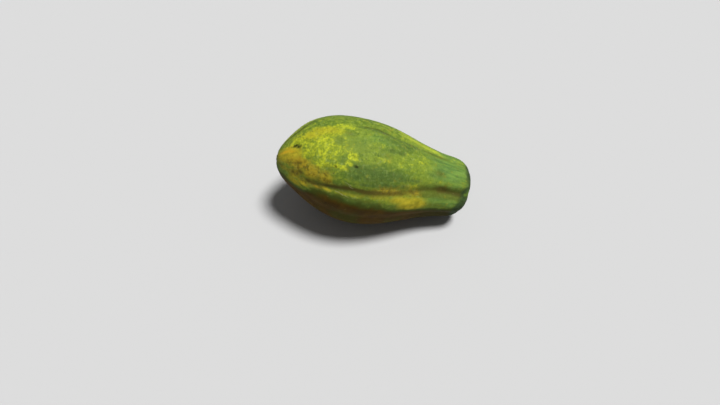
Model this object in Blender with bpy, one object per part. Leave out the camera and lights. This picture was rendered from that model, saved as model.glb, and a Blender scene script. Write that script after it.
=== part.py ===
"""A papaya at rest on its side: one solid fruit, in metres, +Z up, its stem end toward +X.

The skin is a run of rings from the blossom tip to the middle of the stem hollow. Each ring is
round, drawn in along the furrows between the lobes, and the whole fruit leans neck down and
rests on a small flat spot of its belly.
"""
import math
from collections import namedtuple

import bmesh
import bpy
from mathutils import Matrix, Vector

# Driving dimensions of the fruit
FRUIT_LENGTH = 0.250
WIDEST_RADIUS = 0.0675
NECK_DOWN = math.radians(12.5)
FLAT_SPOT_DEPTH = 0.0009

# How finely the skin is divided
RINGS = 60
SIDES = 60

# The run of the skin from the blossom tip to the middle of the stem hollow: shares of the
# fruit's length and of its widest radius
Place = namedtuple("Place", "along width")
SKIN_RUN = (
    Place(0.006, 0.00),
    Place(0.004, 0.04),
    Place(-0.001, 0.11),
    Place(0.018, 0.26),
    Place(0.065, 0.49),
    Place(0.150, 0.75),
    Place(0.260, 0.94),
    Place(0.380, 1.01),
    Place(0.500, 0.99),
    Place(0.620, 0.88),
    Place(0.740, 0.72),
    Place(0.850, 0.61),
    Place(0.925, 0.59),
    Place(0.972, 0.51),
    Place(1.000, 0.37),
    Place(0.988, 0.22),
    Place(0.960, 0.14),
    Place(0.958, 0.09),
    Place(0.962, 0.05),
    Place(0.962, 0.00),
)

# The axis bows back (+Y) and up between these shares of the length, most at the middle one
AXIS_BOW = (0.00, 0.13, 0.45)
BOW_BACK = 0.0045
BOW_UP = 0.0025

# The furrows between the lobes: degrees around the body at the blossom end, half way and at the
# stem end, measured from the front (-Y) over the top (+Z), and the depth on the body and neck
Furrow = namedtuple("Furrow", "at_blossom half_way at_stem body_depth neck_depth")
FURROWS = (
    Furrow(-66, -60, -52, 0.0010, 0.0030),
    Furrow(-24, -11, -20, 0.0026, 0.0032),
    Furrow(5, 31, 39, 0.0032, 0.0050),
    Furrow(98, 98, 104, 0.0014, 0.0022),
    Furrow(168, 172, 176, 0.0016, 0.0040),
    Furrow(234, 240, 246, 0.0014, 0.0035),
)

# Degrees to either side of a furrow that it draws in, and how softly its bed is rounded
FURROW_REACH = 21
FURROW_SOFTNESS = 0.20

# Shares of the length where furrows deepen on the body and again on the neck, and where they
# fade over the stem end's rim to what is left in its hollow
BODY_FURROWS_DEEPEN = (0.03, 0.22)
NECK_FURROWS_DEEPEN = (0.55, 0.85)
FURROWS_FADE_AT_RIM = (0.90, 0.99)
LEFT_AFTER_RIM = 0.45

# Shares of the widest radius between which furrows die out toward the middle of either end
FURROWS_DIE_OUT = (0.05, 0.50)

SKIN_COLOUR = (0.15, 0.24, 0.045, 1.0)
SKIN_ROUGHNESS = 0.42


def clear_scene():
    for thing in list(bpy.data.objects):
        bpy.data.objects.remove(thing, do_unlink=True)


def eased(low, high, value):
    """Rises smoothly from 0 at low to 1 at high."""
    share = min(max((value - low) / (high - low), 0.0), 1.0)
    return share * share * (3 - 2 * share)


def mirrored(end, inner):
    """A place as far beyond the end as the inner one is before it."""
    return Place(*(2 * a - b for a, b in zip(end, inner)))


def run_place(progress):
    """The place on a smooth cubic curve drawn by SKIN_RUN, at a progress from 0 to 1."""
    places = [mirrored(SKIN_RUN[0], SKIN_RUN[1]), *SKIN_RUN, mirrored(SKIN_RUN[-1], SKIN_RUN[-2])]
    spans = len(places) - 3
    span = min(int(progress * spans), spans - 1)
    u = progress * spans - span
    weights = (
        (1 - u) ** 3 / 6,
        (3 * u**3 - 6 * u**2 + 4) / 6,
        (-3 * u**3 + 3 * u**2 + 3 * u + 1) / 6,
        u**3 / 6,
    )
    near = places[span : span + 4]
    return Place(*(sum(w * p[k] for w, p in zip(weights, near)) for k in range(2)))


def bow(along):
    """The share of the axis's full bow at this share of the length."""
    low, middle, high = AXIS_BOW
    return eased(low, middle, along) * (1 - eased(middle, high, along))


def furrow_angle(furrow, along):
    """A smooth curve through the furrow's three angles."""
    from_blossom = furrow.at_blossom * (1 - along) * (1 - 2 * along)
    from_middle = furrow.half_way * 4 * along * (1 - along)
    from_stem = furrow.at_stem * along * (2 * along - 1)
    return from_blossom + from_middle + from_stem


def furrow_depth(furrow, along):
    on_body = furrow.body_depth * eased(*BODY_FURROWS_DEEPEN, along)
    on_neck = (furrow.neck_depth - furrow.body_depth) * eased(*NECK_FURROWS_DEEPEN, along)
    left = 1 - (1 - LEFT_AFTER_RIM) * eased(*FURROWS_FADE_AT_RIM, along)
    return (on_body + on_neck) * left


def draw_in(along, degrees):
    """How far the skin lies inside the plain ring: nothing on a lobe, most in a furrow."""
    inset = 0.0
    for furrow in FURROWS:
        away = abs((degrees - furrow_angle(furrow, along) + 180) % 360 - 180)
        climb = math.sin(math.pi / 2 * min(away / FURROW_REACH, 1.0))
        swell = math.sqrt(climb**2 + FURROW_SOFTNESS**2) - FURROW_SOFTNESS
        swell /= math.sqrt(1 + FURROW_SOFTNESS**2) - FURROW_SOFTNESS
        inset += furrow_depth(furrow, along) * (1 - swell)
    return inset


def skin_point(progress, degrees):
    place = run_place(progress)
    radius = WIDEST_RADIUS * place.width
    radius -= draw_in(place.along, degrees) * eased(*FURROWS_DIE_OUT, place.width)
    angle = math.radians(degrees)
    return Vector((
        FRUIT_LENGTH * place.along,
        BOW_BACK * bow(place.along) - radius * math.cos(angle),
        BOW_UP * bow(place.along) + radius * math.sin(angle),
    ))


def ring_of_skin(shape, ring):
    """The vertices of one ring; the first and the last ring are a single point."""
    progress = ring / RINGS
    if ring in (0, RINGS):
        return [shape.verts.new(skin_point(progress, 0.0))]
    return [shape.verts.new(skin_point(progress, 360 * side / SIDES)) for side in range(SIDES)]


def join_rings(shape, ring, after):
    for side in range(SIDES):
        beside = (side + 1) % SIDES
        if len(ring) == 1:
            shape.faces.new((ring[0], after[beside], after[side]))
        elif len(after) == 1:
            shape.faces.new((ring[side], ring[beside], after[0]))
        else:
            shape.faces.new((ring[side], ring[beside], after[beside], after[side]))


def lean_and_centre(shape):
    """Tips the neck down, then puts the origin under the middle of the fruit, at its lowest point."""
    bmesh.ops.rotate(shape, verts=shape.verts, cent=(0, 0, 0), matrix=Matrix.Rotation(NECK_DOWN, 3, "Y"))
    low, high = (Vector(pick(v.co[k] for v in shape.verts) for k in range(3)) for pick in (min, max))
    middle = (low + high) / 2
    bmesh.ops.translate(shape, verts=shape.verts, vec=(-middle.x, -middle.y, -low.z - FLAT_SPOT_DEPTH))


def press_flat_spot(shape):
    """Cuts the lowest skin level with the ground and closes the cut with one flat face."""
    everything = shape.verts[:] + shape.edges[:] + shape.faces[:]
    cut = bmesh.ops.bisect_plane(
        shape, geom=everything, plane_co=(0, 0, 0), plane_no=(0, 0, 1), clear_inner=True
    )
    rim = [item for item in cut["geom_cut"] if isinstance(item, bmesh.types.BMEdge)]
    bmesh.ops.edgeloop_fill(shape, edges=rim)


def skin_material():
    material = bpy.data.materials.new("papaya_skin")
    material.use_nodes = True
    shader = material.node_tree.nodes["Principled BSDF"]
    shader.inputs["Base Color"].default_value = SKIN_COLOUR
    shader.inputs["Roughness"].default_value = SKIN_ROUGHNESS
    shader.inputs["Metallic"].default_value = 0.0
    return material


def papaya_fruit():
    shape = bmesh.new()
    rings = [ring_of_skin(shape, ring) for ring in range(RINGS + 1)]
    for ring, after in zip(rings, rings[1:]):
        join_rings(shape, ring, after)
    lean_and_centre(shape)
    press_flat_spot(shape)
    bmesh.ops.recalc_face_normals(shape, faces=shape.faces)
    mesh = bpy.data.meshes.new("papaya_fruit")
    shape.to_mesh(mesh)
    shape.free()
    mesh.shade_smooth()
    mesh.materials.append(skin_material())
    fruit = bpy.data.objects.new("papaya_fruit", mesh)
    bpy.context.scene.collection.objects.link(fruit)
    return fruit


clear_scene()
papaya_fruit()
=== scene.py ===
"""The looks of a half-ripe papaya lying on its side.

The skin is grown by Geometry Nodes from the same rule as the solid, far more finely, and then gets its
ripening marks, painted shade on its underside, in its creases and over the stem end's shoulder, corky
specks, dried latex and the scars at both ends.
"""
import math
from collections import namedtuple
from itertools import starmap

import bpy
import numpy as np
from mathutils import Matrix, Vector


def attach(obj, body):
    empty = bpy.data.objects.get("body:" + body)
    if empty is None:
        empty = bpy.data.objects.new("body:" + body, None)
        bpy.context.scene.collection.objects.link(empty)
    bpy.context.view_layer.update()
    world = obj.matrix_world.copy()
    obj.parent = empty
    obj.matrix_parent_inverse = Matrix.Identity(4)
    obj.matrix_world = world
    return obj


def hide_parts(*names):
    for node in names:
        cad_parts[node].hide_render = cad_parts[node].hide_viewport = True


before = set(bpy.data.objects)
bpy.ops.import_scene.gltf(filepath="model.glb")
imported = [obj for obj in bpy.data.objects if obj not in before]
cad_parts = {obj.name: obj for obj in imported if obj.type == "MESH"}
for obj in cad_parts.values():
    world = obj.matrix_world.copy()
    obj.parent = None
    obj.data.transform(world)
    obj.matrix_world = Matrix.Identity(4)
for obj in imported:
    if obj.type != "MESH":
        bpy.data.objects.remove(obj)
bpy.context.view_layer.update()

# Driving dimensions of the fruit, as in its solid
FRUIT_LENGTH = 0.250
WIDEST_RADIUS = 0.0675
NECK_DOWN = math.radians(12.5)
FLAT_SPOT_DEPTH = 0.0009

# How finely the skin is divided, and each stretch of the curve that it follows
RINGS = 310
SIDES = 300
RUN_STEPS = 24

# The run of the skin from the blossom tip to the middle of the stem hollow: shares of the
# fruit's length and of its widest radius
Place = namedtuple("Place", "along width")
SKIN_RUN = (
    Place(0.006, 0.00),
    Place(0.004, 0.04),
    Place(-0.001, 0.11),
    Place(0.018, 0.26),
    Place(0.065, 0.49),
    Place(0.150, 0.75),
    Place(0.260, 0.94),
    Place(0.380, 1.01),
    Place(0.500, 0.99),
    Place(0.620, 0.88),
    Place(0.740, 0.72),
    Place(0.850, 0.61),
    Place(0.925, 0.59),
    Place(0.972, 0.51),
    Place(1.000, 0.37),
    Place(0.988, 0.22),
    Place(0.960, 0.14),
    Place(0.958, 0.09),
    Place(0.962, 0.05),
    Place(0.962, 0.00),
)

# The axis bows back (+Y) and up between these shares of the length, most at the middle one
AXIS_BOW = (0.00, 0.13, 0.45)
BOW_BACK = 0.0045
BOW_UP = 0.0025

# The furrows between the lobes: degrees around the body at the blossom end, half way and at the
# stem end, measured from the front (-Y) over the top (+Z), and the depth on the body and neck
Furrow = namedtuple("Furrow", "at_blossom half_way at_stem body_depth neck_depth")
FURROWS = (
    Furrow(-66, -60, -52, 0.0010, 0.0030),
    Furrow(-24, -11, -20, 0.0026, 0.0032),
    Furrow(5, 31, 39, 0.0032, 0.0050),
    Furrow(98, 98, 104, 0.0014, 0.0022),
    Furrow(168, 172, 176, 0.0016, 0.0040),
    Furrow(234, 240, 246, 0.0014, 0.0035),
)

# Degrees to either side of a furrow that it draws in, and how softly its bed is rounded
FURROW_REACH = 21.0
FURROW_SOFTNESS = 0.20

# Shares of the length where furrows deepen on the body and again on the neck, and where they
# fade over the stem end's rim to what is left in its hollow
BODY_FURROWS_DEEPEN = (0.03, 0.22)
NECK_FURROWS_DEEPEN = (0.55, 0.85)
FURROWS_FADE_AT_RIM = (0.90, 0.99)
LEFT_AFTER_RIM = 0.45

# Shares of the widest radius between which furrows die out toward the middle of either end
FURROWS_DIE_OUT = (0.05, 0.50)

# The skin's own unevenness: shallow dents some way apart, and the level of a noise from 0 to 1
# below which the skin sinks and above which it swells
DENT_SPACING = 0.022
DENT_DEPTH = 0.00035
DENT_LEVEL = 0.6

# Points closer together than this, in metres, become one
ONE_POINT = 1e-6

# The radius at which the lengthwise streaks of the skin keep their true width, and the share that
# is left of their spacing lengthwise, which draws them out
GRAIN_RADIUS = 0.045
GRAIN_LENGTHWISE = 0.18

# Soft patches of paint at a share of the length and at degrees around the body, with their reach
# along and around the fruit in millimetres and their strength
Patch = namedtuple("Patch", "along degrees length width strength")
PATCHES = {
    "ripe": (
        (0.165, 82, 20, 10, 1.05),
        (0.230, 92, 24, 7, 0.95),
        (0.20, 80, 28, 18, 0.85),
        (0.17, 68, 18, 11, 0.70),
        (0.22, 60, 14, 10, 0.70),
        (0.27, 66, 14, 10, 0.60),
        (0.351, 61, 6, 5, 1.40),
        (0.335, 54, 6, 4, 0.80),
        (0.29, 48, 12, 4, 0.85),
        (0.21, 47, 13, 7, 0.70),
        (0.10, 78, 14, 12, 0.85),
        (0.14, 56, 12, 8, 0.80),
        (0.290, 97, 15, 5, 0.90),
        (0.262, 88, 11, 7, 0.95),
        (0.232, 87, 8, 5, 1.20),
        (0.24, 72, 40, 26, 0.40),
        (0.45, 80, 14, 7, 0.36),
        (0.49, 65, 11, 3, 0.55),
        (0.57, 66, 12, 10, 0.30),
        (0.66, 74, 36, 18, 0.22),
        (0.675, 40, 9, 4, 0.85),
        (0.30, 170, 50, 22, 0.70),
        (0.18, 205, 40, 18, 0.60),
        (0.62, 200, 50, 10, 0.40),
    ),
    "pale": (
        (0.24, 70, 40, 26, 0.50),
        (0.46, 80, 16, 8, 0.50),
        (0.49, 65, 16, 4, 0.60),
        (0.58, 68, 20, 12, 0.75),
        (0.66, 72, 30, 18, 0.72),
        (0.70, 55, 24, 9, 0.50),
        (0.85, 53, 20, 5, 0.55),
        (0.80, 84, 10, 3, 0.40),
        (0.52, 30, 24, 5, 0.40),
        (0.36, 108, 50, 8, 0.45),
        (0.34, 101, 18, 7, 0.80),
        (0.40, 86, 18, 8, 0.55),
        (0.66, 104, 20, 6, 0.70),
        (0.62, 40, 20, 6, 0.40),
        (0.09, 11, 10, 8, 0.90),
        (0.55, 185, 50, 20, 0.60),
    ),
    "yellow": (
        (0.684, 16, 16, 8, 1.70),
        (0.050, 20, 7, 5, 0.45),
        (0.160, 25, 5, 3, 0.80),
        (0.62, 22, 18, 6, 0.85),
        (0.52, 24, 20, 5, 0.45),
        (0.64, 40, 16, 6, 0.40),
        (0.243, 31, 7, 4, 1.10),
        (0.260, 34, 7, 4, 0.62),
        (0.100, 13, 7, 5, 0.75),
        (0.105, 2, 10, 5, 0.85),
        (0.165, 28, 10, 6, 0.85),
        (0.18, 28, 7, 4, 0.60),
        (0.085, 8, 5, 4, 0.60),
        (0.145, 9, 6, 3.5, 1.10),
        (0.258, 18, 7, 2.5, 0.95),
        (0.06, 56, 14, 9, 1.30),
        (0.12, 42, 16, 7, 0.70),
        (0.03, 76, 5, 5, 0.60),
        (0.085, 48, 9, 5, 0.80),
        (0.20, 90, 28, 9, 0.52),
        (0.15, 84, 16, 9, 0.55),
        (0.55, 190, 40, 8, 0.55),
    ),
    "orange": (
        (0.040, 65, 8, 2.2, 1.00),
        (0.068, 61, 5, 2.0, 0.60),
        (0.055, 73, 5, 1.8, 0.55),
        (0.10, 46, 8, 4.0, 0.45),
        (0.210, 15, 4, 2.0, 0.75),
    ),
    "ochre": (
        (0.12, 38, 18, 10, 0.92),
        (0.17, 35, 22, 10, 0.86),
        (0.23, 36, 14, 7, 0.50),
        (0.25, 27, 14, 6, 0.70),
        (0.10, 22, 10, 8, 0.80),
        (0.05, 20, 7, 4, 0.75),
        (0.15, 14, 18, 8, 0.62),
        (0.24, 17, 16, 6, 0.45),
        (0.56, 31, 26, 6, 0.75),
        (0.66, 32, 26, 5, 0.55),
        (0.08, 180, 20, 16, 0.70),
        (0.15, 205, 22, 12, 0.60),
    ),
    "brown": (
        (0.115, 40, 9, 6, 0.50),
        (0.090, 21, 4, 3.5, 0.80),
        (0.125, 26, 6, 3, 0.80),
        (0.185, 17, 7, 3, 0.80),
        (0.225, 21, 8, 3, 0.60),
        (0.155, 12, 9, 3, 0.55),
        (0.168, 17, 5, 3.5, 0.90),
        (0.825, 41, 11, 6, 1.05),
        (0.14, 240, 12, 5, 0.70),
    ),
    "olive": (
        (0.80, 67, 12, 5, 0.75),
        (0.79, 46, 12, 3, 0.60),
        (0.250, 44, 8, 5, 0.50),
    ),
    # Dark green of the skin, partly painted shade along the furrows, near the tip and above the shaded
    # underside
    "deep": (
        (0.465, 48, 26, 12, 1.10),
        (0.39, 50, 14, 8, 1.00),
        (0.55, 50, 26, 8, 0.90),
        (0.50, 40, 24, 8, 0.75),
        (0.92, 40, 9, 6, 0.95),
        (0.583, 78, 8, 5, 0.95),
        (0.54, 90, 26, 9, 0.62),
        (0.60, 88, 16, 8, 0.88),
        (0.672, 98, 3, 4, 0.90),
        (0.33, 87, 8, 5, 0.70),
        (0.31, 55, 5, 6, 0.55),
        (0.275, 77, 8, 7, 0.95),
        (0.37, 42, 14, 6, 0.85),
        (0.045, 28, 10, 5, 0.35),
        (0.535, 77, 9, 5, 0.90),
        (0.02, 32, 6, 6, 0.85),
        (0.38, 76, 26, 13, 0.50),
        (0.30, 76, 10, 8, 0.45),
        (0.50, 72, 16, 8, 0.45),
        (0.83, 74, 14, 4, 1.00),
        (0.85, 82, 22, 8, 0.50),
        (0.80, 92, 22, 7, 0.55),
        (0.55, 150, 60, 18, 0.60),
        (0.78, 125, 30, 6, 0.50),
    ),
    "fresh": (
        (0.86, 78, 28, 22, 1.00),
        (0.890, 20, 16, 8, 1.00),
        (0.82, 23, 18, 6, 0.75),
        (0.88, 54, 20, 7, 0.80),
        (0.46, 88, 26, 12, 0.62),
        (0.86, 112, 24, 12, 0.80),
        (0.86, 140, 24, 16, 0.70),
        (0.86, 210, 24, 16, 0.80),
        (0.05, 15, 8, 6, 0.60),
    ),
    "scar": (
        (0.085, 71, 3.6, 2.4, 0.95),
        (0.100, 67, 3.6, 2.4, 0.85),
        (0.372, 52, 3.0, 1.8, 1.05),
        (0.278, 47, 2.6, 1.8, 0.85),
        (0.44, 195, 3.0, 2.0, 1.00),
        (0.25, 250, 3.5, 2.2, 0.90),
    ),
    "rim": (
        (0.985, 41, 4.0, 5.0, 1.00),
        (0.965, 37, 3.0, 2.5, 0.80),
    ),
}

# Soft lines of paint that run lengthwise: their reach to either side in millimetres, their strength
# and the places that they run through, given as above
Line = namedtuple("Line", "width strength places")
LINES = {
    "ripe": (
        (3.0, 0.36, ((0.27, 16), (0.32, 18), (0.42, 21), (0.50, 23))),
    ),
    "yellow": (
        (3.0, 0.38, ((0.27, 18), (0.32, 20), (0.42, 22))),
    ),
    "brown": (
        (4.5, 0.75, ((0.22, 19), (0.25, 22), (0.30, 25), (0.36, 28))),
        (3.5, 0.90, ((0.34, 28), (0.46, 28), (0.54, 29), (0.60, 31))),
        (3.5, 0.55, ((0.56, 30), (0.60, 31), (0.69, 35), (0.76, 40))),
        (3.5, 0.55, ((0.74, 39), (0.82, 40), (0.88, 38), (0.98, 35))),
    ),
    "olive": (
        (8.0, 1.15, ((0.74, 36), (0.80, 36), (0.86, 34), (0.92, 34))),
        (4.5, 1.05, ((0.74, 30), (0.80, 31), (0.86, 32), (0.93, 33))),
        (7.0, 0.85, ((0.26, 24), (0.34, 25), (0.42, 26), (0.50, 28), (0.60, 33), (0.70, 38))),
        (3.5, 0.80, ((0.20, 8), (0.28, 15), (0.36, 18), (0.46, 18))),
        (4.0, 0.60, ((0.52, 17), (0.60, 12))),
        (4.0, 0.45, ((0.74, 15), (0.84, 13))),
    ),
    # Dark green lines, partly painted shade along the furrows and above the shaded underside
    "deep": (
        (4.0, 0.85, ((0.24, 10), (0.32, 14), (0.42, 16), (0.50, 15))),
        (3.2, 0.85, ((0.38, 101), (0.46, 101), (0.52, 98), (0.58, 96), (0.66, 97))),
        (3.0, 0.45, ((0.66, 98), (0.74, 101), (0.84, 104))),
        (3.0, 0.85, ((0.42, 36), (0.52, 37), (0.62, 40))),
        (2.5, 0.85, ((0.50, 44), (0.60, 47), (0.68, 49))),
        (3.5, 0.70, ((0.76, 62), (0.82, 62), (0.88, 62))),
    ),
    # Lighter yellow-green along the ridges, partly a painted highlight where they catch the light
    "ridge": (
        (7.0, 0.75, ((0.62, 119), (0.66, 118), (0.74, 117))),
        (5.0, 1.15, ((0.62, 112), (0.66, 112), (0.70, 113), (0.76, 114))),
        (3.0, 0.40, ((0.48, 116), (0.58, 113), (0.62, 112))),
        (6.0, 0.42, ((0.74, 110), (0.81, 109), (0.88, 110))),
        (5.0, 0.90, ((0.05, 123), (0.09, 122), (0.12, 126), (0.15, 130))),
    ),
    # Painted shade in the creases of the furrows and at the stem end's rim
    "crease": (
        (1.9, 0.85, ((0.04, 109), (0.06, 107), (0.09, 107), (0.12, 112), (0.15, 117))),
        (1.8, 0.70, ((0.40, 103), (0.46, 103), (0.51, 100))),
        (2.4, 0.50, ((0.76, 103), (0.80, 104), (0.85, 105))),
        (2.4, 0.95, ((0.26, 23), (0.36, 28), (0.46, 28))),
        (3.0, 0.85, ((0.86, 38), (0.94, 36), (0.98, 36))),
    ),
}

# Over how many of its own widths a line fades at its ends, and the millimetres from the blossom tip
# within which patches and lines thin out
LINE_ENDS_FADE = 2.5
PLAIN_TIP = (3.0, 13.0)

# The edge of the painted shade on the underside, a dull olive-brown as if lit by warm light bounced
# from below: shares of the length and millimetres above the axis, at the front and at the back, over
# how many millimetres it sets in, which varies along the fruit, and how far blotches break it up
EDGE_IN_FRONT = (
    (0.00, -3),
    (0.05, -2),
    (0.08, -4),
    (0.11, -6),
    (0.14, -2),
    (0.20, 9),
    (0.26, 15),
    (0.33, 18),
    (0.40, 20),
    (0.48, 18),
    (0.55, 13),
    (0.63, 7),
    (0.75, 4),
    (0.85, 3),
    (1.00, 4),
)
EDGE_BEHIND = ((0.00, -14), (0.20, -38), (0.50, -44), (0.80, -30), (1.00, -22))
EDGE_SOFTNESS = ((0.00, 9.0), (0.20, 10.0), (0.35, 13.0), (0.45, 13.0), (0.62, 7.0), (1.00, 8.0))
UNDERSIDE_SHADE_BLOTCHES = 1.1

# Where the dark shoulder of the stem end begins, its own darker green with painted shade where it turns
# away
# from the light: degrees and shares of the length, how softly, and how far blotches break it up
SHOULDER_EDGE = (
    (-90, 0.950),
    (-20, 0.925),
    (7, 0.920),
    (34, 0.935),
    (56, 0.955),
    (120, 0.955),
    (180, 0.955),
    (270, 0.950),
)
SHOULDER_SOFTNESS = 0.03
SHOULDER_BLOTCHES = 1.4

# The least and the most strength of that shoulder, and how much of it is missing at the back
SHOULDER_STRENGTH = (-1.0, 1.3)
MISSING_BEHIND = 0.35

# Shares of the skin's run: where it turns in to the stem, between which the shoulder clears again
# on the way there, and what is left of it
TURNS_IN = 0.9
SHOULDER_CLEARS = (0.890, 0.935)
LEFT_IN_THE_HOLLOW = 0.35

# Where the smoother, more streaky skin of the neck sets in, as shares of the length
NECK_SKIN = (0.66, 0.84)

# The corky scars at both ends: radius, height of the lip, depth of the middle, number of dried
# bundles in it, their size, and the seed of its raggedness
Scar = namedtuple("Scar", "radius lip hollow bundles bundle_size seed")
STEM_SCAR = Scar(0.0078, 0.0012, 0.0022, 17, 0.0008, 3)
BLOSSOM_SCAR = Scar(0.0042, 0.0006, 0.0011, 5, 0.0006, 8)

# How finely a scar is divided, and the share of it that turns back under the rim
SCAR_RINGS = 30
SCAR_SIDES = 96
TURNED_UNDER = 0.2

# Shares of a scar's radius: where the lip rises and is highest, where the middle rises out of its
# hollow, where the rim goes down into the skin, and where the bundles stand
LIP_RISES = (0.45, 0.74)
HOLLOW_ENDS = (0.15, 0.70)
RIM_SINKS = (0.86, 1.0)
BUNDLES_AT = 0.46

# Heights in a scar: what the whole disc is raised by and the lip falls to, as shares of the lip's
# height, and what the rim and the underside sink to and the bundles rise to, as shares of the hollow
DISC_RAISED = 0.3
LIP_FALLS_TO = -0.6
RIM_SINKS_TO = -0.3
UNDERSIDE_SINKS_TO = -0.4
BUNDLES_RISE_TO = 0.42

# How ragged a scar's outline and its lip are, and the least and the most of its bundles' sizes
RAGGED_OUTLINE = 0.5
RAGGED_LIP = 0.9
BUNDLE_SIZES = (0.6, 1.2)

# Corky specks strewn over the skin: how many on a square metre, the widest one's radius, the least
# and the most of their sizes, the power that leaves few wide ones, a speck's length and height to
# its width, and their seed
SPECKS_ON_A_METRE = 4200.0
SPECK_RADIUS = 0.00062
SPECK_SIZES = (0.35, 1.0)
FEW_WIDE = 1.5
SPECK_LENGTH = 1.3
SPECK_HEIGHT = 0.35
SPECK_SEED = 5

# Dried runs of latex, from one place to another as shares of the length and degrees, and half their
# thickness in metres
Streak = namedtuple("Streak", "start end thickness")
STREAKS = (
    Streak((0.335, 33.5), (0.368, 31.5), 0.00028),
    Streak((0.352, 31.0), (0.378, 29.0), 0.00020),
    Streak((0.298, 20.5), (0.338, 18.5), 0.00030),
    Streak((0.330, 19.5), (0.366, 18.0), 0.00022),
)

# How far a run wavers, as a share of a turn, how deep it lies, as a share of its thickness, and the
# steps that it is drawn in
STREAK_WAVER = 0.009
STREAK_LIES_IN = 0.55
STREAK_STEPS = 40

# The camera of the photograph, the place on the fruit that it aims at, where that place shows in its
# frame, and how far off it is
FRAME_SIZE = (720, 405)
LENS = 24.45
SENSOR = 36.0
LOOKS_DOWN = math.radians(53.0)
LOOKS_ASIDE = math.radians(-2.0)
AIM = Vector((0.0, 0.0, 0.068))
AIM_PIXEL = (374.3, 171.6)
AIM_DEPTH = 0.631

# How far the pale surround stands from the fruit and how low it begins, in metres, and its sides
SURROUND = 10.0
SURROUND_FOOT = -0.5
SURROUND_SIDES = 96

# The greys of the floor and the surround, and the light: the sun's strength, its width and how far
# it leans to the right, and the strength of the air
FLOOR_GREY = (0.50, 0.50, 0.50, 1.0)
SURROUND_GREY = (0.72, 0.72, 0.72, 1.0)
SUN_STRENGTH = 4.28
SUN_WIDTH = math.radians(16)
SUN_LEANS = math.radians(18)
AIR_STRENGTH = 0.15


def add(name, data):
    """A new object in the scene."""
    thing = bpy.data.objects.new(name, data)
    bpy.context.scene.collection.objects.link(thing)
    return thing


class Tree:
    """A node tree with short ways to add its nodes."""

    def __init__(self, tree):
        self.tree = tree

    def fill(self, socket, value):
        if isinstance(value, bpy.types.NodeSocket):
            self.tree.links.new(value, socket)
        else:
            socket.default_value = value

    def node(self, kind, inputs=None, **settings):
        node = self.tree.nodes.new(kind)
        for name, value in settings.items():
            setattr(node, name, value)
        for name, value in (inputs or {}).items():
            self.fill(node.inputs[name], value)
        return node

    def maths(self, operation, *values):
        node = self.node("ShaderNodeMath", operation=operation)
        for socket, value in zip(node.inputs, values):
            self.fill(socket, value)
        return node.outputs[0]

    def plus(self, a, b):
        return self.maths("ADD", a, b)

    def less(self, a, b):
        return self.maths("SUBTRACT", a, b)

    def times(self, a, b):
        return self.maths("MULTIPLY", a, b)

    def total(self, values):
        result = values[0]
        for value in values[1:]:
            result = self.plus(result, value)
        return result

    def eased(self, low, high, value, ends=(0.0, 1.0)):
        """Rises smoothly from the first end at low to the second at high."""
        names = ("Value", "From Min", "From Max", "To Min", "To Max")
        inputs = dict(zip(names, (value, low, high, *ends)))
        return self.node("ShaderNodeMapRange", inputs, interpolation_type="SMOOTHSTEP").outputs[0]

    def vector(self, x, y, z):
        return self.node("ShaderNodeCombineXYZ", {"X": x, "Y": y, "Z": z}).outputs[0]

    def split(self, vector):
        return self.node("ShaderNodeSeparateXYZ", {"Vector": vector}).outputs

    def noise(self, place, spacing, detail=2.0, roughness=0.5, seed=0.0, warp=0.0):
        inputs = {
            "Vector": place,
            "W": seed,
            "Scale": 1 / spacing,
            "Detail": detail,
            "Roughness": roughness,
            "Distortion": warp,
        }
        return self.node("ShaderNodeTexNoise", inputs, noise_dimensions="4D").outputs[0]


class Grower(Tree):
    """A Geometry Nodes tree with named inputs, whose result becomes a plain mesh."""

    def __init__(self, name, inputs, outputs=(("Geometry", "Geometry"),)):
        super().__init__(bpy.data.node_groups.new(name, "GeometryNodeTree"))
        self.sockets = {label: self.socket("INPUT", label, kind).identifier for label, kind in inputs}
        for label, kind in outputs:
            self.socket("OUTPUT", label, kind)
        self.given = self.node("NodeGroupInput").outputs
        self.result = self.node("NodeGroupOutput").inputs

    def socket(self, side, label, kind):
        kind = "NodeSocket" + kind
        return self.tree.interface.new_socket(label, in_out=side, socket_type=kind)

    def store(self, geometry, name, value, kind="FLOAT", domain="POINT"):
        inputs = {"Geometry": geometry, "Name": name, "Value": value}
        node = self.node("GeometryNodeStoreNamedAttribute", inputs, data_type=kind, domain=domain)
        return node.outputs[0]

    def here(self):
        return self.node("GeometryNodeInputPosition").outputs[0]

    def outward(self, distance):
        """A vector of this length along the surface's normal."""
        inputs = {0: self.node("GeometryNodeInputNormal").outputs[0], "Scale": distance}
        return self.node("ShaderNodeVectorMath", inputs, operation="SCALE").outputs[0]

    def moved(self, geometry, **place):
        """The geometry at a new Position, or set off by an Offset."""
        return self.node("GeometryNodeSetPosition", {"Geometry": geometry, **place}).outputs[0]

    def merged(self, geometry):
        inputs = {"Geometry": geometry, "Distance": ONE_POINT}
        return self.node("GeometryNodeMergeByDistance", inputs).outputs[0]

    def close(self, geometry, material):
        """Ends the tree in plain, smooth, painted geometry."""
        plain = self.node("GeometryNodeRealizeInstances", {"Geometry": geometry}).outputs[0]
        smooth = self.node("GeometryNodeSetShadeSmooth", {"Geometry": plain}).outputs[0]
        painted = self.node("GeometryNodeSetMaterial", {"Geometry": smooth, "Material": material})
        self.fill(self.result["Geometry"], painted.outputs[0])

    def grow(self, name, material, **values):
        """A new object of the tree's result, with no modifier left on it."""
        host = add("host", bpy.data.meshes.new("host"))
        modifier = host.modifiers.new("grow", "NODES")
        modifier.node_group = self.tree
        for label, value in {"Material": material, **values}.items():
            modifier[self.sockets[label.replace("_", " ")]] = value
        bpy.context.view_layer.update()
        grown = host.evaluated_get(bpy.context.evaluated_depsgraph_get())
        mesh = bpy.data.meshes.new_from_object(grown)
        bpy.data.objects.remove(host, do_unlink=True)
        mesh.name = name
        mesh.materials.clear()
        mesh.materials.append(material)
        return add(name, mesh)


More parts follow.
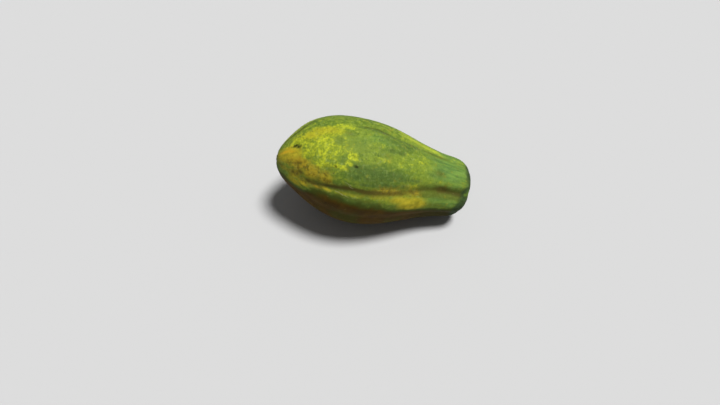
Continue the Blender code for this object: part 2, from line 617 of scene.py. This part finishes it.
def furrow_tree():
    """How far one furrow draws the skin in, at a place on it."""
    labels = ("Along", "Degrees", "At Blossom", "Half Way", "At Stem", "Body Depth", "Neck Depth")
    g = Grower("furrow", [(label, "Float") for label in labels], [("Inset", "Float")])
    along = g.given["Along"]
    rest = g.less(1.0, along)
    toward_stem = g.less(g.times(along, 2.0), 1.0)
    toward_blossom = g.times(toward_stem, -1.0)
    middle = g.times(g.times(along, rest), 4.0)
    angle = g.total((
        g.times(g.given["At Blossom"], g.times(rest, toward_blossom)),
        g.times(g.given["Half Way"], middle),
        g.times(g.given["At Stem"], g.times(along, toward_stem)),
    ))
    away = g.maths("WRAP", g.less(g.given["Degrees"], angle), 180.0, -180.0)
    away = g.maths("MINIMUM", g.maths("DIVIDE", g.maths("ABSOLUTE", away), FURROW_REACH), 1.0)
    climb = g.maths("SINE", g.times(away, math.pi / 2))
    softened = g.maths("SQRT", g.plus(g.times(climb, climb), FURROW_SOFTNESS**2))
    full = math.sqrt(1 + FURROW_SOFTNESS**2) - FURROW_SOFTNESS
    swell = g.maths("DIVIDE", g.less(softened, FURROW_SOFTNESS), full)
    body = g.times(g.given["Body Depth"], g.eased(*BODY_FURROWS_DEEPEN, along))
    deeper = g.less(g.given["Neck Depth"], g.given["Body Depth"])
    neck = g.times(deeper, g.eased(*NECK_FURROWS_DEEPEN, along))
    left = g.eased(*FURROWS_FADE_AT_RIM, along, (1.0, LEFT_AFTER_RIM))
    depth = g.times(g.plus(body, neck), left)
    g.fill(g.result["Inset"], g.times(depth, g.less(1.0, swell)))
    return g.tree


def furrows_inset(g, along, degrees):
    """All furrows together."""
    group = furrow_tree()
    insets = []
    for furrow in FURROWS:
        inputs = {field.replace("_", " ").title(): value for field, value in furrow._asdict().items()}
        inputs.update({"Along": along, "Degrees": degrees})
        insets.append(g.node("GeometryNodeGroup", inputs, node_tree=group).outputs[0])
    return g.total(insets)


def run_curve():
    """The run of the skin as a smooth curve in the XY plane: along the fruit, and out from its axis."""

    def mirrored(end, inner):
        return Place(*(2 * a - b for a, b in zip(end, inner)))

    places = [mirrored(SKIN_RUN[0], SKIN_RUN[1]), *SKIN_RUN, mirrored(SKIN_RUN[-1], SKIN_RUN[-2])]
    curve = bpy.data.curves.new("skin_run", "CURVE")
    curve.dimensions = "3D"
    curve.resolution_u = RUN_STEPS
    spline = curve.splines.new("NURBS")
    spline.points.add(len(places) - 1)
    for point, place in zip(spline.points, places):
        point.co = (FRUIT_LENGTH * place.along, WIDEST_RADIUS * place.width, 0.0, 1.0)
    spline.order_u = 4
    spline.use_endpoint_u = False
    return add("skin_run", curve)


def skin_tree():
    """The whole skin, as a sheet of rings rolled round the axis."""
    g = Grower("papaya_skin", (
        ("Run", "Object"),
        ("Rings", "Int"),
        ("Sides", "Int"),
        ("Fruit Length", "Float"),
        ("Widest Radius", "Float"),
        ("Neck Down", "Float"),
        ("Flat Spot Depth", "Float"),
        ("Dent Spacing", "Float"),
        ("Dent Depth", "Float"),
        ("Material", "Material"),
    ))
    given = g.given
    sheet = g.node("GeometryNodeMeshGrid", {
        "Vertices X": g.plus(given["Rings"], 1.0),
        "Vertices Y": g.plus(given["Sides"], 1.0),
    })
    flat = g.split(g.here())
    progress = g.plus(flat["X"], 0.5)
    degrees = g.times(g.plus(flat["Y"], 0.5), 360.0)

    run = g.node("GeometryNodeObjectInfo", {"Object": given["Run"]}).outputs["Geometry"]
    sample = g.node("GeometryNodeSampleCurve", {"Curves": run, "Factor": progress}, use_all_curves=True)
    reached = g.split(sample.outputs["Position"])
    along = g.maths("DIVIDE", reached["X"], given["Fruit Length"])
    width = g.maths("DIVIDE", reached["Y"], given["Widest Radius"])

    inset = g.times(furrows_inset(g, along, degrees), g.eased(*FURROWS_DIE_OUT, width))
    radius = g.less(reached["Y"], inset)
    low, middle, high = AXIS_BOW
    bow = g.times(g.eased(low, middle, along), g.eased(middle, high, along, (1.0, 0.0)))
    angle = g.maths("RADIANS", degrees)
    cosine = g.maths("COSINE", angle)
    sine = g.maths("SINE", angle)
    level = g.vector(
        reached["X"],
        g.less(g.times(bow, BOW_BACK), g.times(radius, cosine)),
        g.plus(g.times(bow, BOW_UP), g.times(radius, sine)),
    )
    leaning = g.node(
        "ShaderNodeVectorRotate", {"Vector": level, "Angle": given["Neck Down"]}, rotation_type="Y_AXIS"
    ).outputs[0]

    grain = g.vector(reached["X"], g.times(cosine, GRAIN_RADIUS), g.times(sine, GRAIN_RADIUS))
    skin = g.store(sheet.outputs["Mesh"], "OFBake", sheet.outputs["UV Map"], "FLOAT2", "CORNER")
    skin = g.store(skin, "along", along)
    skin = g.store(skin, "progress", progress)
    skin = g.store(skin, "grain", grain, "FLOAT_VECTOR")
    skin = g.store(skin, "girth", radius)
    skin = g.merged(g.moved(skin, Position=leaning))

    box = g.node("GeometryNodeBoundBox", {"Geometry": skin}).outputs
    corners = g.node("ShaderNodeVectorMath", {0: box["Min"], 1: box["Max"]}).outputs[0]
    inputs = {0: corners, 1: (0.5, 0.5, 0.5)}
    centre = g.split(g.node("ShaderNodeVectorMath", inputs, operation="MULTIPLY").outputs[0])
    lowest = g.split(box["Min"])["Z"]
    to_ground = g.vector(
        g.times(centre["X"], -1.0),
        g.times(centre["Y"], -1.0),
        g.times(g.plus(lowest, given["Flat Spot Depth"]), -1.0),
    )
    skin = g.moved(skin, Offset=to_ground)

    uneven = g.node("ShaderNodeTexNoise", {
        "Vector": g.here(),
        "Scale": g.maths("DIVIDE", 1.0, given["Dent Spacing"]),
        "Detail": 1.0,
    }).outputs[0]
    dent = g.times(g.times(g.less(uneven, DENT_LEVEL), given["Dent Depth"]), 2.0)
    skin = g.moved(skin, Offset=g.outward(dent))

    stands = g.split(g.here())
    pressed = g.vector(stands["X"], stands["Y"], g.maths("MAXIMUM", stands["Z"], 0.0))
    g.close(g.moved(skin, Position=pressed), given["Material"])
    return g


def scar_tree():
    """A corky disc with a raised ragged lip and a sunk middle, in which dried bundles stand."""
    g = Grower("scar", (
        ("Radius", "Float"),
        ("Lip", "Float"),
        ("Hollow", "Float"),
        ("Bundles", "Int"),
        ("Bundle Size", "Float"),
        ("Place", "Vector"),
        ("Facing", "Float"),
        ("Seed", "Int"),
        ("Material", "Material"),
    ))
    given = g.given
    sheet = g.node("GeometryNodeMeshGrid", {"Vertices X": SCAR_RINGS + 1, "Vertices Y": SCAR_SIDES + 1})
    flat = g.split(g.here())
    over_and_under = g.times(g.plus(flat["X"], 0.5), 1 + TURNED_UNDER)
    returning = g.maths("MAXIMUM", g.less(over_and_under, 1.0), 0.0)
    out = g.maths("MINIMUM", over_and_under, 1.0)
    angle = g.times(g.plus(flat["Y"], 0.5), math.tau)
    cosine = g.maths("COSINE", angle)
    sine = g.maths("SINE", angle)
    ragged = g.node("ShaderNodeTexNoise", {
        "Vector": g.vector(cosine, sine, out),
        "W": given["Seed"],
        "Scale": 2.2,
        "Detail": 3.0,
    }, noise_dimensions="4D").outputs[0]
    ragged = g.less(ragged, 0.5)
    uneven = g.plus(g.times(ragged, RAGGED_OUTLINE), 1.0)
    reach = g.maths("MAXIMUM", g.less(out, g.times(returning, 1 / TURNED_UNDER)), 0.0)
    radius = g.times(g.times(reach, uneven), given["Radius"])
    falls = g.eased(LIP_RISES[1], 1.0, out, (1.0, LIP_FALLS_TO))
    rise = g.times(g.eased(*LIP_RISES, out), falls)
    lip = g.times(g.plus(rise, g.times(ragged, RAGGED_LIP)), given["Lip"])
    sunk = g.times(g.eased(*HOLLOW_ENDS, out, (-1.0, 0.0)), given["Hollow"])
    rim = g.times(g.eased(*RIM_SINKS, out, (1.0, RIM_SINKS_TO)), given["Hollow"])
    raised = g.times(given["Lip"], DISC_RAISED)
    below = g.times(g.times(returning, UNDERSIDE_SINKS_TO / TURNED_UNDER), given["Hollow"])
    height = g.total((lip, sunk, rim, raised, below))
    risen = g.vector(g.times(radius, cosine), g.times(radius, sine), height)
    disc = g.merged(g.moved(sheet.outputs["Mesh"], Position=risen))

    ring = g.node("GeometryNodeMeshCircle", {
        "Vertices": given["Bundles"],
        "Radius": g.times(given["Radius"], BUNDLES_AT),
    })
    inputs = {"Segments": 8, "Rings": 5, "Radius": given["Bundle Size"]}
    stub = g.node("GeometryNodeMeshUVSphere", inputs)
    inputs = {2: BUNDLE_SIZES[0], 3: BUNDLE_SIZES[1], "Seed": given["Seed"]}
    size = g.node("FunctionNodeRandomValue", inputs, data_type="FLOAT")
    stubs = g.node("GeometryNodeInstanceOnPoints", {
        "Points": ring.outputs[0],
        "Instance": stub.outputs["Mesh"],
        "Scale": size.outputs[1],
    }).outputs[0]
    standing = g.vector(0.0, 0.0, g.times(given["Hollow"], BUNDLES_RISE_TO))
    stubs = g.node("GeometryNodeTransform", {"Geometry": stubs, "Translation": standing}).outputs[0]

    both = g.node("GeometryNodeJoinGeometry")
    for part in (disc, stubs):
        g.fill(both.inputs[0], part)
    set_down = g.node("GeometryNodeTransform", {
        "Geometry": both.outputs[0],
        "Translation": given["Place"],
        "Rotation": g.vector(0.0, given["Facing"], 0.0),
    })
    g.close(set_down.outputs[0], given["Material"])
    return g


def speck_tree():
    """Low corky domes strewn over the skin."""
    g = Grower("corky_specks", (
        ("Skin", "Object"),
        ("Density", "Float"),
        ("Radius", "Float"),
        ("Seed", "Int"),
        ("Material", "Material"),
    ))
    given = g.given
    skin = g.node("GeometryNodeObjectInfo", {"Object": given["Skin"]}).outputs["Geometry"]
    strewn = g.node("GeometryNodeDistributePointsOnFaces", {
        "Mesh": skin,
        "Density": given["Density"],
        "Seed": given["Seed"],
    })
    dome = g.node("GeometryNodeMeshUVSphere", {"Segments": 8, "Rings": 4, "Radius": given["Radius"]})
    inputs = {2: SPECK_SIZES[0], 3: SPECK_SIZES[1], "Seed": given["Seed"]}
    size = g.node("FunctionNodeRandomValue", inputs, data_type="FLOAT")
    size = g.maths("POWER", size.outputs[1], FEW_WIDE)
    specks = g.node("GeometryNodeInstanceOnPoints", {
        "Points": strewn.outputs["Points"],
        "Instance": dome.outputs["Mesh"],
        "Rotation": strewn.outputs["Rotation"],
        "Scale": g.vector(g.times(size, SPECK_LENGTH), size, g.times(size, SPECK_HEIGHT)),
    }).outputs[0]
    g.close(specks, given["Material"])
    return g


def streak_tree():
    """A dried run of latex: a thin wavering bead along the skin between two places."""
    g = Grower("latex_streak", (
        ("Skin", "Object"),
        ("Start", "Vector"),
        ("End", "Vector"),
        ("Thickness", "Float"),
        ("Waver", "Float"),
        ("Material", "Material"),
    ))
    given = g.given
    line = g.node("GeometryNodeCurvePrimitiveLine", {"Start": given["Start"], "End": given["End"]})
    inputs = {"Curve": line.outputs[0], "Count": STREAK_STEPS}
    line = g.node("GeometryNodeResampleCurve", inputs).outputs[0]
    here = g.here()
    drift = g.node("ShaderNodeTexNoise", {"Vector": here, "Scale": 90.0, "Detail": 2.0}).outputs[0]
    aside = g.times(g.less(drift, 0.5), given["Waver"])
    line = g.moved(line, Offset=g.vector(0.0, aside, 0.0))
    skin = g.node("GeometryNodeObjectInfo", {"Object": given["Skin"]}).outputs["Geometry"]
    flat = g.node("GeometryNodeInputNamedAttribute", {"Name": "OFBake"}, data_type="FLOAT_VECTOR")
    sunk = g.outward(g.times(given["Thickness"], -STREAK_LIES_IN))
    sample = g.node("GeometryNodeSampleUVSurface", {
        "Mesh": skin,
        "Value": g.node("ShaderNodeVectorMath", {0: here, 1: sunk}).outputs[0],
        "UV Map": flat.outputs["Attribute"],
        "Sample UV": here,
    }, data_type="FLOAT_VECTOR")
    line = g.moved(line, Position=sample.outputs["Value"])
    share = g.node("GeometryNodeSplineParameter").outputs["Factor"]
    arch = g.maths("MAXIMUM", g.maths("SINE", g.times(share, math.pi)), 0.0)
    girth = g.times(g.maths("SQRT", arch), g.plus(drift, 0.3))
    line = g.node("GeometryNodeSetCurveRadius", {"Curve": line, "Radius": girth}).outputs[0]
    bead = g.node("GeometryNodeCurvePrimitiveCircle", {"Resolution": 8, "Radius": given["Thickness"]})
    run = g.node("GeometryNodeCurveToMesh", {
        "Curve": line,
        "Profile Curve": bead.outputs[0],
        "Fill Caps": True,
    }).outputs[0]
    g.close(run, given["Material"])
    return g


def read(mesh, name):
    values = np.empty(len(mesh.vertices), np.float32)
    mesh.attributes[name].data.foreach_get("value", values)
    return values


def read_grain(mesh):
    values = np.empty(len(mesh.vertices) * 3, np.float32)
    mesh.attributes["grain"].data.foreach_get("vector", values)
    return values.reshape(-1, 3)


def write(mesh, name, values):
    layer = mesh.attributes.new(name, "FLOAT", "POINT")
    layer.data.foreach_set("value", np.asarray(values, np.float32))


def ripening(mesh):
    """Writes the strength of each kind of paint, the painted shade among them, as an attribute of the
    skin.
    """
    along, girth, progress = (read(mesh, name) for name in ("along", "girth", "progress"))
    grain = read_grain(mesh)
    degrees = np.degrees(np.arctan2(grain[:, 2], grain[:, 1]))
    millimetres_along = along * FRUIT_LENGTH * 1000
    thinning = np.where(progress < 0.5, np.interp(girth * 1000, PLAIN_TIP, (0.0, 1.0)), 1.0)

    def sidewise(line):
        return np.radians((degrees - line + 180) % 360 - 180) * girth * 1000

    def at(value, places):
        return np.interp(value, *np.array(places).T)

    for kind in sorted({*PATCHES, *LINES}):
        field = np.zeros_like(along)
        for patch in starmap(Patch, PATCHES.get(kind, ())):
            lengthwise = (along - patch.along) * FRUIT_LENGTH * 1000 / patch.length
            across = sidewise(patch.degrees) / patch.width
            field = np.maximum(field, patch.strength * np.exp(-(lengthwise**2) - across**2))
        for line in starmap(Line, LINES.get(kind, ())):
            across = sidewise(at(along, line.places)) / line.width
            first, last = (line.places[k][0] * FRUIT_LENGTH * 1000 for k in (0, -1))
            past = np.maximum(first - millimetres_along, millimetres_along - last)
            fade = np.maximum(past, 0) / (LINE_ENDS_FADE * line.width)
            field = np.maximum(field, line.strength * np.exp(-(across**2) - fade**2))
        write(mesh, kind, field * thinning)

    # The painted shade on the underside, set by height above the axis
    height = girth * 1000 * np.sin(np.radians(degrees))
    backward = 0.5 - 0.5 * np.cos(np.radians(degrees))
    edge = at(along, EDGE_IN_FRONT) * (1 - backward) + at(along, EDGE_BEHIND) * backward
    write(mesh, "underside", 0.5 + (edge - height) / at(along, EDGE_SOFTNESS))
    # The stem end's dark shoulder, partly painted shade
    turned = (degrees + 90) % 360 - 90
    beyond = np.where(progress < TURNS_IN, along - at(turned, SHOULDER_EDGE), 1.0)
    shoulder = np.clip(0.5 + beyond / SHOULDER_SOFTNESS, *SHOULDER_STRENGTH)
    shoulder -= MISSING_BEHIND * backward
    write(mesh, "shoulder", shoulder * np.interp(progress, SHOULDER_CLEARS, (1.0, LEFT_IN_THE_HOLLOW)))
    write(mesh, "neck", np.interp(along, NECK_SKIN, (0.0, 1.0)))


def colour(hexadecimal):
    """The linear colour of a display colour such as 5E8A35."""
    parts = [int(hexadecimal[k : k + 2], 16) / 255 for k in (0, 2, 4)]
    return (*(c / 12.92 if c <= 0.04045 else ((c + 0.055) / 1.055) ** 2.4 for c in parts), 1.0)


class Finish(Tree):
    """A material's node tree around its Principled shader."""

    def __init__(self, name, roughness, specular):
        self.material = bpy.data.materials.new(name)
        self.material.use_nodes = True
        super().__init__(self.material.node_tree)
        self.shader = self.tree.nodes["Principled BSDF"].inputs
        self.shader["Roughness"].default_value = roughness
        self.shader["Specular IOR Level"].default_value = specular
        self.place = self.node("ShaderNodeTexCoord").outputs["Object"]

    def attribute(self, name, kind="Fac"):
        return self.node("ShaderNodeAttribute", attribute_name=name).outputs[kind]

    def tint(self, under, over, amount):
        """One colour laid over another by an amount from 0 to 1."""
        node = self.node("ShaderNodeMix", data_type="RGBA", clamp_factor=True)
        self.fill(node.inputs[0], amount)
        self.fill(node.inputs[6], under)
        self.fill(node.inputs[7], over)
        return node.outputs[2]

    def wash(self, under, over, field, amount):
        """A colour laid over another where a field is strong, at most by an amount."""
        return self.tint(under, colour(over), self.times(field, amount))

    def stain(self, under, over, noise, low, high, amount):
        """A colour laid over another where a noise passes from low to high."""
        return self.wash(under, over, self.eased(low, high, noise), amount)

    def blend(self, first, second, noise, low, high):
        """The first colour turning into the second as a noise passes from low to high."""
        return self.tint(colour(first), colour(second), self.eased(low, high, noise))

    def broken(self, field, noise, spread, edge):
        """A soft field broken up by noise, with an edge from soft to crisp."""
        pushed = self.times(self.less(noise, 0.5), spread)
        return self.eased(0.5 - edge, 0.5 + edge, self.plus(field, pushed))

    def patches(self, kind, noise, spread, edge=0.45):
        """The skin's patches of one kind, broken up by noise."""
        return self.broken(self.attribute(kind), noise, spread, edge)

    def bump(self, heights):
        """Surface relief from (height, distance) pairs, one on the other."""
        normal = None
        for height, distance in heights:
            inputs = {"Height": height, "Distance": distance, "Strength": 1.0}
            if normal is not None:
                inputs["Normal"] = normal
            normal = self.node("ShaderNodeBump", inputs).outputs[0]
        self.fill(self.shader["Normal"], normal)


def skin_finish():
    f = Finish("papaya_skin", roughness=0.65, specular=0.06)
    place = f.place
    drawn_out = {"Vector": f.attribute("grain", "Vector"), "Scale": (GRAIN_LENGTHWISE, 1.0, 1.0)}
    grain = f.node("ShaderNodeMapping", drawn_out).outputs[0]

    cloud = f.noise(place, 0.045, 2.0)
    patch = f.noise(place, 0.016, 3.0, 0.55, seed=3.1)
    mottle = f.noise(place, 0.0052, 3.0, 0.60, seed=7.7, warp=0.3)
    net = f.noise(place, 0.0034, 3.0, 0.62, seed=12.4, warp=0.6)
    fleck = f.noise(place, 0.0024, 2.0, 0.60, seed=5.2)
    streak = f.noise(grain, 0.0042, 3.0, 0.55, seed=1.3)
    broad_streak = f.noise(grain, 0.011, 2.0, 0.5, seed=9.4)
    bloom = f.noise(place, 0.0040, 4.0, 0.68, seed=11.0)
    pepper = f.noise(place, 0.0022, 2.0, 0.60, seed=14.6, warp=0.5)
    coarse = f.times(f.plus(patch, mottle), 0.5)
    calm = f.less(1.0, f.times(f.attribute("neck"), 0.4))

    green = f.blend("5C7528", "72852C", cloud, 0.35, 0.65)
    green = f.stain(green, "89992C", mottle, 0.46, 0.72, 0.60)
    green = f.stain(green, "4D6524", mottle, 0.52, 0.34, 0.55)
    green = f.stain(green, "475C22", fleck, 0.53, 0.68, 0.68)
    green = f.stain(green, "8C9C30", net, 0.47, 0.33, 0.50)
    green = f.stain(green, "4E6825", streak, 0.52, 0.75, 0.50)
    green = f.stain(green, "829432", broad_streak, 0.55, 0.75, 0.45)
    neck = f.blend("587935", "76882E", streak, 0.38, 0.60)
    neck = f.stain(neck, "48642A", broad_streak, 0.48, 0.66, 0.60)
    neck = f.stain(neck, "4F5F22", mottle, 0.50, 0.70, 0.60)
    neck = f.stain(neck, "8EA040", mottle, 0.50, 0.32, 0.45)
    green = f.tint(green, neck, f.times(f.attribute("neck"), 0.62))
    pale = f.patches("pale", coarse, 1.4)
    green = f.wash(green, "8B9A30", pale, 0.62)

    # Dark green, partly painted shade along the furrows and above the shaded underside
    deep = f.patches("deep", coarse, 1.1)
    dark = f.blend("4A602C", "668040", fleck, 0.54, 0.70)
    dark = f.stain(dark, "34461E", net, 0.50, 0.64, 0.65)
    green = f.tint(green, dark, f.times(deep, 0.76))
    fresh = f.patches("fresh", broad_streak, 0.7)
    bright = f.blend("4E7238", "6E9444", streak, 0.36, 0.62)
    green = f.tint(green, bright, f.times(fresh, 0.58))

    gold = f.blend("9AA424", "BEC62E", mottle, 0.42, 0.64)
    gold = f.stain(gold, "72852A", fleck, 0.51, 0.64, 0.75)
    paler = f.times(f.eased(0.15, 0.85, f.attribute("ripe")), 0.55)
    green = f.tint(green, colour("8C9A2C"), paler)
    ripening = f.less(f.attribute("ripe"), f.times(f.attribute("deep"), 0.45))
    cells = f.times(f.plus(mottle, net), 0.5)
    ripe = f.broken(ripening, cells, 2.7, 0.32)
    painted = f.tint(green, gold, f.times(ripe, 0.92))
    turning = f.eased(0.15, 0.70, f.maths("MAXIMUM", f.attribute("ripe"), f.attribute("pale")))
    netted = f.times(turning, f.eased(0.48, 0.62, pepper, (0.0, 0.48)))
    painted = f.tint(painted, colour("4F6A22"), netted)

    # Ridges lighter, partly a painted highlight
    ridge = f.patches("ridge", mottle, 1.4)
    light = f.blend("8FA034", "AAB636", streak, 0.40, 0.62)
    painted = f.tint(painted, light, f.times(ridge, 0.72))

    olive = f.patches("olive", coarse, 1.0)
    painted = f.wash(painted, "525A1E", olive, 0.75)
    amber = f.blend("C2AE2C", "968E22", coarse, 0.42, 0.60)
    yellow = f.patches("yellow", coarse, 1.6)
    painted = f.tint(painted, amber, f.times(yellow, 0.85))
    ochre = f.patches("ochre", coarse, 2.0, 0.40)
    rust = f.blend("B49A28", "6E5A1A", mottle, 0.45, 0.62)
    rust = f.stain(rust, "5C6220", net, 0.50, 0.62, 0.60)
    painted = f.tint(painted, rust, f.times(ochre, 0.80))
    orange = f.patches("orange", mottle, 1.2, 0.42)
    painted = f.wash(painted, "C8A022", orange, 0.75)

    hazy = f.times(calm, f.less(1.0, f.times(yellow, 0.7)))
    hazy = f.times(hazy, f.eased(0.50, 0.78, bloom, (0.0, 0.20)))
    painted = f.tint(painted, colour("C0CB86"), hazy)

    # Painted shade on the underside: dark olive, then dull brown as with warm bounced light, darker at
    # the neck
    blotchy = f.less(f.plus(coarse, patch), 1.0)
    under = f.plus(f.attribute("underside"), f.times(blotchy, UNDERSIDE_SHADE_BLOTCHES))
    painted = f.tint(painted, colour("3C4616"), f.eased(-0.05, 0.70, under, (0.0, 0.88)))
    underside_shade_colour = f.blend("452F04", "523B08", patch, 0.40, 0.65)
    underside_shade_colour = f.stain(underside_shade_colour, "3E410E", cloud, 0.48, 0.64, 0.75)
    underside_shade_colour = f.wash(underside_shade_colour, "2F3414", f.attribute("neck"), 0.7)
    painted = f.tint(painted, underside_shade_colour, f.eased(0.45, 1.40, under, (0.0, 0.94)))

    # Painted shade in the creases
    crease = f.patches("crease", coarse, 1.4)
    painted = f.wash(painted, "3A3F18", crease, 0.78)
    brown = f.patches("brown", coarse, 1.3)
    painted = f.wash(painted, "4A4218", brown, 0.82)
    # The stem end's dark shoulder: its own darker green with painted shade where it turns from the
    # light
    ragged = f.less(f.plus(patch, broad_streak), 1.0)
    ragged = f.times(ragged, SHOULDER_BLOTCHES)
    end = f.eased(0.0, 1.0, f.plus(f.attribute("shoulder"), ragged))
    shoulder_green_and_shade = f.blend("34492B", "2C3A20", mottle, 0.42, 0.58)
    painted = f.tint(painted, shoulder_green_and_shade, f.times(end, 0.88))
    rim = f.patches("rim", mottle, 0.8)
    painted = f.wash(painted, "627E2A", rim, 0.75)
    shadowy = f.times(calm, f.eased(0.50, 0.24, bloom, (0.0, 0.36)))
    painted = f.tint(painted, colour("1C2410"), shadowy)
    scar = f.patches("scar", fleck, 0.8)
    painted = f.wash(painted, "262A0E", scar, 0.88)
    f.fill(f.shader["Base Color"], painted)

    pores = f.noise(place, 0.0011, 2.0, 0.5, seed=2.2)
    ripples = f.noise(grain, 0.0060, 2.0, 0.5, seed=6.6)
    f.bump(((ripples, 0.0006), (pores, 0.00012), (f.times(scar, -1.0), 0.0004)))
    return f.material


def cork_finish():
    """Dry cork: grey-brown, cracked and rough, with darker clouds."""
    f = Finish("corky_scar", roughness=0.85, specular=0.15)
    crumb = f.noise(f.place, 0.0012, 3.0, 0.6, seed=4.0)
    cloud = f.noise(f.place, 0.0040, 2.0, 0.5, seed=8.0)
    cork = f.blend("5B4A2C", "8D7A50", crumb, 0.35, 0.65)
    cork = f.stain(cork, "3A2E1B", cloud, 0.50, 0.70, 0.7)
    f.fill(f.shader["Base Color"], cork)
    f.bump(((crumb, 0.0005),))
    return f.material


def speck_finish():
    f = Finish("corky_speck", roughness=0.80, specular=0.15)
    shade = f.noise(f.place, 0.010, 1.0, seed=2.0)
    f.fill(f.shader["Base Color"], f.blend("4E4A22", "75693A", shade, 0.4, 0.6))
    return f.material


def latex_finish():
    f = Finish("dried_latex", roughness=0.55, specular=0.30)
    shade = f.noise(f.place, 0.0015, 2.0, seed=6.0)
    f.fill(f.shader["Base Color"], f.blend("7C7C42", "A9A878", shade, 0.35, 0.65))
    f.bump(((shade, 0.0002),))
    return f.material


def end_of_run(mesh, progress):
    """The point of the skin where its run begins (0) or ends (1)."""
    nearest = int(np.argmin(np.abs(read(mesh, "progress") - progress)))
    return mesh.vertices[nearest].co.copy()


def flat_place(mesh, along, degrees):
    """Where a place on the body lies on the skin's flat map: progress, turn."""
    angle = math.radians(degrees)
    target = (along * FRUIT_LENGTH, math.cos(angle) * GRAIN_RADIUS, math.sin(angle) * GRAIN_RADIUS)
    nearest = int(np.argmin(((read_grain(mesh) - target) ** 2).sum(1)))
    return (float(read(mesh, "progress")[nearest]), degrees / 360, 0.0)


def dressings(skin):
    """The small pieces that grow or dry on the skin."""
    cork = cork_finish()
    scars = scar_tree()
    ends = (
        ("stem_scar", STEM_SCAR, 1.0, math.pi / 2 + NECK_DOWN),
        ("blossom_scar", BLOSSOM_SCAR, 0.0, NECK_DOWN - math.pi / 2),
    )
    pieces = []
    for name, scar, progress, facing in ends:
        inputs = {field.title(): value for field, value in scar._asdict().items()}
        place = end_of_run(skin.data, progress)
        pieces.append(scars.grow(name, cork, Place=place, Facing=facing, **inputs))
    pieces.append(speck_tree().grow(
        "corky_specks",
        speck_finish(),
        Skin=skin,
        Density=SPECKS_ON_A_METRE,
        Radius=SPECK_RADIUS,
        Seed=SPECK_SEED,
    ))
    latex = latex_finish()
    streaks = streak_tree()
    for number, streak in enumerate(STREAKS, 1):
        pieces.append(streaks.grow(
            f"latex_streak_{number}",
            latex,
            Skin=skin,
            Start=flat_place(skin.data, *streak.start),
            End=flat_place(skin.data, *streak.end),
            Thickness=streak.thickness,
            Waver=STREAK_WAVER,
        ))
    return pieces


def camera():
    """The photograph's camera."""
    ahead = Vector((
        math.sin(LOOKS_ASIDE) * math.cos(LOOKS_DOWN),
        math.cos(LOOKS_ASIDE) * math.cos(LOOKS_DOWN),
        -math.sin(LOOKS_DOWN),
    ))
    right = Vector((math.cos(LOOKS_ASIDE), -math.sin(LOOKS_ASIDE), 0.0))
    up = right.cross(ahead)
    focal = LENS / SENSOR * FRAME_SIZE[0]
    across = (AIM_PIXEL[0] - FRAME_SIZE[0] / 2) / focal
    down = (AIM_PIXEL[1] - FRAME_SIZE[1] / 2) / focal
    data = bpy.data.cameras.new("camera")
    data.lens = LENS
    data.sensor_width = SENSOR
    data.clip_start = 0.01
    view = add("camera", data)
    view.location = AIM - (ahead + across * right - down * up) * AIM_DEPTH
    view.rotation_euler = Matrix((right, up, -ahead)).transposed().to_euler()
    bpy.context.scene.camera = view


def studio():
    """A pale floor and surround, and one large soft light from above, a little to the right."""
    mesh = bpy.data.meshes.new("floor")
    corners = [(x * SURROUND, y * SURROUND, 0.0) for x, y in ((-1, -1), (1, -1), (1, 1), (-1, 1))]
    mesh.from_pydata(corners, [], [(0, 1, 2, 3)])
    floor = add("floor", mesh)
    f = Finish("floor", roughness=0.9, specular=0.0)
    f.fill(f.shader["Base Color"], FLOOR_GREY)
    mesh.materials.append(f.material)

    mesh = bpy.data.meshes.new("surround")
    sides = SURROUND_SIDES
    angles = [math.tau * k / sides for k in range(sides)]
    ring = [(SURROUND * math.cos(a), SURROUND * math.sin(a)) for a in angles]
    around = [(k, (k + 1) % sides, (k + 1) % sides + sides, k + sides) for k in range(sides)]
    mesh.from_pydata([(x, y, z) for z in (SURROUND_FOOT, SURROUND) for x, y in ring], [], around)
    surround = add("surround", mesh)
    surround.visible_diffuse = False
    surround.visible_glossy = False
    surround.visible_shadow = False
    f = Finish("surround", roughness=1.0, specular=0.0)
    f.fill(f.shader["Base Color"], (0.0, 0.0, 0.0, 1.0))
    f.fill(f.shader["Emission Color"], SURROUND_GREY)
    f.fill(f.shader["Emission Strength"], 1.0)
    mesh.materials.append(f.material)

    lamp = bpy.data.lights.new("key", "SUN")
    lamp.energy = SUN_STRENGTH
    lamp.angle = SUN_WIDTH
    key = add("key", lamp)
    key.rotation_euler = (0.0, SUN_LEANS, 0.0)

    world = bpy.data.worlds.new("studio")
    world.use_nodes = True
    air = world.node_tree.nodes["Background"].inputs
    air["Color"].default_value = (1.0, 1.0, 1.0, 1.0)
    air["Strength"].default_value = AIR_STRENGTH
    bpy.context.scene.world = world
    bpy.context.scene.view_settings.view_transform = "Standard"


def settle(piece):
    """Puts a piece on the fruit's one body."""
    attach(piece, "root")


skin_paint = skin_finish()
run = run_curve()
skin = skin_tree().grow(
    "papaya_skin",
    skin_paint,
    Run=run,
    Rings=RINGS,
    Sides=SIDES,
    Fruit_Length=FRUIT_LENGTH,
    Widest_Radius=WIDEST_RADIUS,
    Neck_Down=NECK_DOWN,
    Flat_Spot_Depth=FLAT_SPOT_DEPTH,
    Dent_Spacing=DENT_SPACING,
    Dent_Depth=DENT_DEPTH,
)
bpy.data.objects.remove(run, do_unlink=True)
ripening(skin.data)
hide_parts("papaya_fruit")
settle(skin)
for piece in dressings(skin):
    settle(piece)
camera()
studio()
